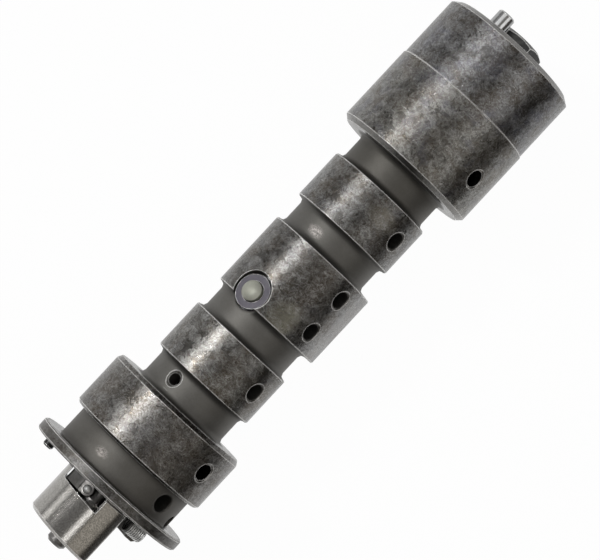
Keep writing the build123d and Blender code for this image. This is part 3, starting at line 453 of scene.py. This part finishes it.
def makeSpring():
    # centre line: a tail from the hub, a helix (start + radius (cos a side + sin a X) + pitch a / 2 pi away),
    # and a tail into the weight; the wire is a circle carried along it
    look = springLook
    away = np.array((0.0, -math.cos(look["dip"]), -math.sin(look["dip"])))
    side = np.array((0.0, math.sin(look["dip"]), -math.cos(look["dip"])))
    start = np.array(look["start"])
    turn = np.linspace(0, look["turns"], look["turns"] * look["steps"] + 1)[:, None]
    angle = 2 * math.pi * turn
    shaftWay = np.array((1.0, 0.0, 0.0))
    coil = start + look["pitch"] * turn * away + look["radius"] * (np.cos(angle) * side + np.sin(angle) * shaftWay)
    first, last = coil[0], coil[-1]
    hubTip = np.array((first[0], look["hubTipY"], first[2]))
    weightTip = np.array((last[0], last[1] + look["weightTip"][0], look["weightTip"][1]))
    path = np.concatenate((np.linspace(hubTip, first, look["hubTailRings"])[:-1], coil,
                           np.linspace(last, weightTip, look["weightTailRings"])[1:]))
    along = np.gradient(path, axis=0)
    along /= np.linalg.norm(along, axis=1)[:, None]
    up = shaftWay
    rings = []
    sides = look["sides"]
    spokes = 2 * math.pi * np.arange(sides) / sides
    for point, way in zip(path, along):
        up = up - way * np.dot(up, way)
        up /= np.linalg.norm(up)
        other = np.cross(way, up)
        rings.append(point + look["wire"] * (np.cos(spokes)[:, None] * up + np.sin(spokes)[:, None] * other))
    verts = np.concatenate(rings) / 1000
    faces = [(r * sides + k, r * sides + (k + 1) % sides, (r + 1) * sides + (k + 1) % sides, (r + 1) * sides + k)
             for r in range(len(rings) - 1) for k in range(sides)]
    faces.append(tuple(range(sides))[::-1])
    faces.append(tuple((len(rings) - 1) * sides + k for k in range(sides)))
    mesh = bpy.data.meshes.new("coil_spring")
    mesh.from_pydata(verts.tolist(), [], faces)
    for face in mesh.polygons:
        face.use_smooth = len(face.vertices) == 4
    spring = bpy.data.objects.new("coil_spring", mesh)
    bpy.context.collection.objects.link(spring)
    mesh.materials.append(makeSpringWire())
    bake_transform(spring)
    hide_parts("flyweight_spring")


finishes = {
    "camshaft_body": makeBodySteel(),
    "decompressor_shaft": makeSteel("stem steel", rgb(0.16, 0.155, 0.15), rgb(0.40, 0.39, 0.38), 0.46, 0.0, 0.5),
    "decompressor_plunger": makeSteel("dome steel", rgb(0.42, 0.425, 0.365), rgb(0.50, 0.505, 0.445), 0.60, 0.0, 0.1,
                                      metallic=0.55),
    "flyweight": makeSteel("weight steel", rgb(0.085, 0.082, 0.078), rgb(0.18, 0.175, 0.17), 0.42, 0.0, 0.5),
    "plunger_guide_bush": makeSteel("bush steel", rgb(0.064, 0.061, 0.070), rgb(0.090, 0.086, 0.096), 0.38, 0.00012,
                                    0.1),
    "drive_pin": makeSteel("pin steel", rgb(0.55, 0.55, 0.54), rgb(0.70, 0.70, 0.69), 0.50, 0.0, 0.1, metallic=0.6),
    "end_dowel": makeSteel("dowel steel", rgb(0.36, 0.36, 0.36), rgb(0.48, 0.48, 0.48), 0.24, 0.0001, 0.1),
    "retaining_pin": makeSteel("seat pin steel", rgb(0.018, 0.017, 0.016), rgb(0.04, 0.038, 0.035), 0.5, 0.0001),
    "flyweight_pivot_pin": makeSteel("pivot steel", rgb(0.05, 0.05, 0.048), rgb(0.10, 0.10, 0.095), 0.42, 0.0002),
    "flange_pin": makeSteel("flange pin steel", rgb(0.025, 0.025, 0.025), rgb(0.05, 0.05, 0.05), 0.42, 0.0002),
    "gallery_plug": makeSteel("plug steel", rgb(0.05, 0.05, 0.05), rgb(0.11, 0.11, 0.105), 0.36, 0.0003),
}
for nodeName, finish in finishes.items():
    piece = bpy.data.objects[nodeName]
    for slot in piece.material_slots:
        slot.material = finish
print("finishes placed on", len(finishes), "nodes")
makeSpring()
print("spring made")


# floor, light and camera

floorSet = {"slope": 0.023163, "touchX": 0.00285, "drop": 0.0238, "half": 12.0, "white": 0.975,
            "sheetEdge": (-0.17, -0.10), "beyond": 0.10}   # the white sheet ends in front of the shaft


def makeFloor():
    # a flat sheet that touches the flange's rim and the end journal: z = -drop + slope (x - touchX)
    half, slope = floorSet["half"], floorSet["slope"]
    corners = np.array([(-half, -half, 0.0), (half, -half, 0.0), (half, half, 0.0), (-half, half, 0.0)])
    corners[:, 2] = -floorSet["drop"] + slope * (corners[:, 0] - floorSet["touchX"])
    mesh = bpy.data.meshes.new("floor")
    mesh.from_pydata(corners.tolist(), [], [(0, 1, 2, 3)])
    floor = bpy.data.objects.new("floor", mesh)
    bpy.context.collection.objects.link(floor)
    material = bpy.data.materials.new("floor white")
    material.use_nodes = True
    tree = material.node_tree
    tree.nodes.clear()
    ray = addNode(tree, "ShaderNodeLightPath")
    seen = calc(tree, "MAXIMUM", ray.outputs["Is Camera Ray"],
                calc(tree, "MAXIMUM", ray.outputs["Is Glossy Ray"], ray.outputs["Is Transmission Ray"]))
    matte = addNode(tree, "ShaderNodeBsdfDiffuse", {"Color": rgb(0.9, 0.9, 0.9)})
    place = addNode(tree, "ShaderNodeTexCoord").outputs["Object"]
    across = addNode(tree, "ShaderNodeSeparateXYZ", {0: place}).outputs[1]
    sheet = remap(tree, across, *floorSet["sheetEdge"], floorSet["beyond"], 1.0)
    level = calc(tree, "MAXIMUM", sheet, ray.outputs["Is Camera Ray"])
    glow = addNode(tree, "ShaderNodeEmission", {"Color": rgb(1, 1, 1), "Strength": level})
    both = addNode(tree, "ShaderNodeMixShader", {0: calc(tree, "MULTIPLY", seen, floorSet["white"]),
                                                 1: matte.outputs[0], 2: glow.outputs[0]})
    addNode(tree, "ShaderNodeOutputMaterial", {0: both.outputs[0]})
    mesh.materials.append(material)


roomSet = {"tint": rgb(0.99, 0.985, 0.98), "ends": 0.22, "slant": (-0.10, 0.12, 0.76, 1.14),
           # brightness by angle from straight up, in degrees, + towards +Y
           "stops": ((-180, 0.04), (-92, 0.05), (-72, 0.105), (-45, 0.185), (-12, 0.25), (0, 0.37), (30, 0.46),
                     (84, 0.50), (100, 0.45), (180, 0.20)),
           "warm": rgb(1.0, 0.93, 0.83)}   # towards -Y


def makeWorld():
    world = bpy.data.worlds.new("studio")
    bpy.context.scene.world = world
    world.use_nodes = True
    tree = world.node_tree
    tree.nodes.clear()
    toward = addNode(tree, "ShaderNodeSeparateXYZ", {0: addNode(tree, "ShaderNodeTexCoord").outputs["Generated"]})
    turn = calc(tree, "ARCTAN2", toward.outputs[1], toward.outputs[2])
    share = remap(tree, turn, -math.pi, math.pi, smooth=False)
    ramp = addNode(tree, "ShaderNodeValToRGB", {0: share})
    bar = ramp.color_ramp
    bar.elements.remove(bar.elements[0])
    for place, (angle, level) in enumerate(roomSet["stops"]):
        step = bar.elements[0] if place == 0 else bar.elements.new(0.5)
        step.position = (angle + 180) / 360
        step.color = rgb(level, level, level)
    ends = remap(tree, calc(tree, "ABSOLUTE", toward.outputs[0]), 0.30, 0.85, 1.0, roomSet["ends"])
    ends = calc(tree, "MULTIPLY", ends, remap(tree, toward.outputs[0], *roomSet["slant"]))
    tint = mixColor(tree, remap(tree, turn, 0.3, -0.6), roomSet["tint"], roomSet["warm"])
    tinted = mixColor(tree, 1.0, ramp.outputs[0], tint, "MULTIPLY")
    room = addNode(tree, "ShaderNodeBackground", {0: tinted, 1: ends})
    white = addNode(tree, "ShaderNodeBackground", {0: rgb(1, 1, 1), 1: 1.0})
    ray = addNode(tree, "ShaderNodeLightPath")
    both = addNode(tree, "ShaderNodeMixShader", {0: ray.outputs["Is Camera Ray"], 1: room.outputs[0],
                                                 2: white.outputs[0]})
    addNode(tree, "ShaderNodeOutputWorld", {0: both.outputs[0]})


lamps = {
    "key": {"at": (-0.003, 0.68, 0.73), "size": (0.064, 0.16), "watts": 3.5},
    "keyFar": {"at": (0.32, 0.455, 0.89), "size": (0.28, 0.70), "watts": 0.80},
    "hubSide": {"at": (-0.28, 0.94, 0.32), "size": (0.24, 0.30), "watts": 0.42},
    "hubFill": {"at": (-0.28, -0.23, 0.97), "size": (0.22, 0.22), "watts": 0.52},
    "hubLow": {"at": (-0.28, -0.80, 0.62), "size": (0.22, 0.86), "watts": 0.42, "tint": (1.0, 0.95, 0.87)},
    "fillFar": {"at": (0.33, -0.64, 0.77), "size": (0.38, 0.60), "watts": 1.1},
}


def makeLamps():
    for name, look in lamps.items():
        data = bpy.data.lights.new(name, "AREA")
        data.shape = "RECTANGLE"
        data.size, data.size_y = look["size"]
        data.energy = look["watts"]
        data.color = look.get("tint", (1.0, 1.0, 1.0))
        lamp = bpy.data.objects.new(name, data)
        bpy.context.collection.objects.link(lamp)
        away = Vector(look["at"]) - Vector((look["at"][0], 0, 0))
        side = Vector((1, 0, 0))
        back = away.normalized()
        up = back.cross(side)
        lamp.matrix_world = Matrix.Translation(look["at"]) @ Matrix((side, up, back)).transposed().to_4x4()


cameraSet = {"at": (0.0558, 0.0, 0.754), "tilt": math.atan2(18.0, 754.0), "turn": math.radians(47.09),
             "lens": 174.05, "slide": (0.000236, -0.000007)}


def makeCamera():
    look = cameraSet
    along = Vector((math.cos(look["tilt"]), 0, math.sin(look["tilt"])))
    back = Vector((-math.sin(look["tilt"]), 0, math.cos(look["tilt"])))
    across = Vector((0, 1, 0))
    right = along * math.cos(look["turn"]) - across * math.sin(look["turn"])
    up = along * math.sin(look["turn"]) + across * math.cos(look["turn"])
    data = bpy.data.cameras.new("camera")
    data.sensor_width, data.lens = 36.0, look["lens"]
    data.clip_start, data.clip_end = 0.05, 50.0
    camera = bpy.data.objects.new("camera", data)
    bpy.context.collection.objects.link(camera)
    place = Vector(look["at"]) + right * look["slide"][0] + up * look["slide"][1]
    camera.matrix_world = Matrix.Translation(place) @ Matrix((right, up, back)).transposed().to_4x4()
    bpy.context.scene.camera = camera


makeFloor()
makeWorld()
makeLamps()
makeCamera()
bpy.context.scene.view_settings.view_transform = "Standard"
print("floor, lamps and camera placed")
